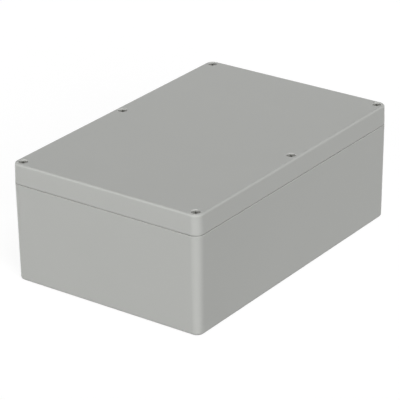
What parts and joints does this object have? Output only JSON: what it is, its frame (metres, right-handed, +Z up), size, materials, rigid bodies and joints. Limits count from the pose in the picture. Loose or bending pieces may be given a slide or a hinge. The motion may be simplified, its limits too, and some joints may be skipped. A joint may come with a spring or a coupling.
{
  "type": "plastic enclosure",
  "caption": "Rectangular moulded plastic enclosure with a deep base and a shallow gasketed lid, held by captive recessed screws that turn in threaded inserts.",
  "frame": {"origin": "centre of the underside of the base", "axes": "+X along the length to the right-hand end, +Y across the width from the front to the rear, +Z up to the lid"},
  "size_m": [0.24, 0.16, 0.09],
  "materials": {
    "shell": "light grey moulded plastic with a fine satin grain",
    "gasket": "dark grey soft rubber",
    "screw": "plain stainless steel",
    "ring": "natural nylon",
    "insert": "knurled brass"
  },
  "bodies": {
    "base": {"base": "shell", "threaded_insert_front_left": "insert", "threaded_insert_front_middle": "insert", "threaded_insert_front_right": "insert", "threaded_insert_rear_left": "insert", "threaded_insert_rear_middle": "insert", "threaded_insert_rear_right": "insert"},
    "lid": {"lid": "shell", "gasket": "gasket"},
    "ring_front_left": {"retaining_ring_front_left": "ring"},
    "screw_front_left": {"lid_screw_front_left": "screw"},
    "ring_front_middle": {"retaining_ring_front_middle": "ring"},
    "screw_front_middle": {"lid_screw_front_middle": "screw"},
    "ring_front_right": {"retaining_ring_front_right": "ring"},
    "screw_front_right": {"lid_screw_front_right": "screw"},
    "ring_rear_left": {"retaining_ring_rear_left": "ring"},
    "screw_rear_left": {"lid_screw_rear_left": "screw"},
    "ring_rear_middle": {"retaining_ring_rear_middle": "ring"},
    "screw_rear_middle": {"lid_screw_rear_middle": "screw"},
    "ring_rear_right": {"retaining_ring_rear_right": "ring"},
    "screw_rear_right": {"lid_screw_rear_right": "screw"}
  },
  "joints": [
    {"name": "lid_lift", "type": "slide", "parent": "base", "child": "lid", "axis": [0, 0, 1], "range_m": [0, 0.12]},
    {"name": "screw_front_left_rise", "type": "slide", "parent": "lid", "child": "ring_front_left", "axis": [0, 0, 1], "range_m": [0, 0.0063]},
    {"name": "screw_front_left_turn", "type": "hinge", "parent": "ring_front_left", "child": "screw_front_left", "pos_m": [-0.11375, -0.07375, 0.0892], "axis": [0, 0, 1], "range_deg": [0, 3240]},
    {"name": "screw_front_middle_rise", "type": "slide", "parent": "lid", "child": "ring_front_middle", "axis": [0, 0, 1], "range_m": [0, 0.0063]},
    {"name": "screw_front_middle_turn", "type": "hinge", "parent": "ring_front_middle", "child": "screw_front_middle", "pos_m": [0, -0.07375, 0.0892], "axis": [0, 0, 1], "range_deg": [0, 3240]},
    {"name": "screw_front_right_rise", "type": "slide", "parent": "lid", "child": "ring_front_right", "axis": [0, 0, 1], "range_m": [0, 0.0063]},
    {"name": "screw_front_right_turn", "type": "hinge", "parent": "ring_front_right", "child": "screw_front_right", "pos_m": [0.11375, -0.07375, 0.0892], "axis": [0, 0, 1], "range_deg": [0, 3240]},
    {"name": "screw_rear_left_rise", "type": "slide", "parent": "lid", "child": "ring_rear_left", "axis": [0, 0, 1], "range_m": [0, 0.0063]},
    {"name": "screw_rear_left_turn", "type": "hinge", "parent": "ring_rear_left", "child": "screw_rear_left", "pos_m": [-0.11375, 0.07375, 0.0892], "axis": [0, 0, 1], "range_deg": [0, 3240]},
    {"name": "screw_rear_middle_rise", "type": "slide", "parent": "lid", "child": "ring_rear_middle", "axis": [0, 0, 1], "range_m": [0, 0.0063]},
    {"name": "screw_rear_middle_turn", "type": "hinge", "parent": "ring_rear_middle", "child": "screw_rear_middle", "pos_m": [0, 0.07375, 0.0892], "axis": [0, 0, 1], "range_deg": [0, 3240]},
    {"name": "screw_rear_right_rise", "type": "slide", "parent": "lid", "child": "ring_rear_right", "axis": [0, 0, 1], "range_m": [0, 0.0063]},
    {"name": "screw_rear_right_turn", "type": "hinge", "parent": "ring_rear_right", "child": "screw_rear_right", "pos_m": [0.11375, 0.07375, 0.0892], "axis": [0, 0, 1], "range_deg": [0, 3240]}
  ],
  "couplings": [
    {"joint": "screw_front_left_turn", "follows": "screw_front_left_rise", "rad_per_m": 8976},
    {"joint": "screw_front_middle_turn", "follows": "screw_front_middle_rise", "rad_per_m": 8976},
    {"joint": "screw_front_right_turn", "follows": "screw_front_right_rise", "rad_per_m": 8976},
    {"joint": "screw_rear_left_turn", "follows": "screw_rear_left_rise", "rad_per_m": 8976},
    {"joint": "screw_rear_middle_turn", "follows": "screw_rear_middle_rise", "rad_per_m": 8976},
    {"joint": "screw_rear_right_turn", "follows": "screw_rear_right_rise", "rad_per_m": 8976}
  ]
}
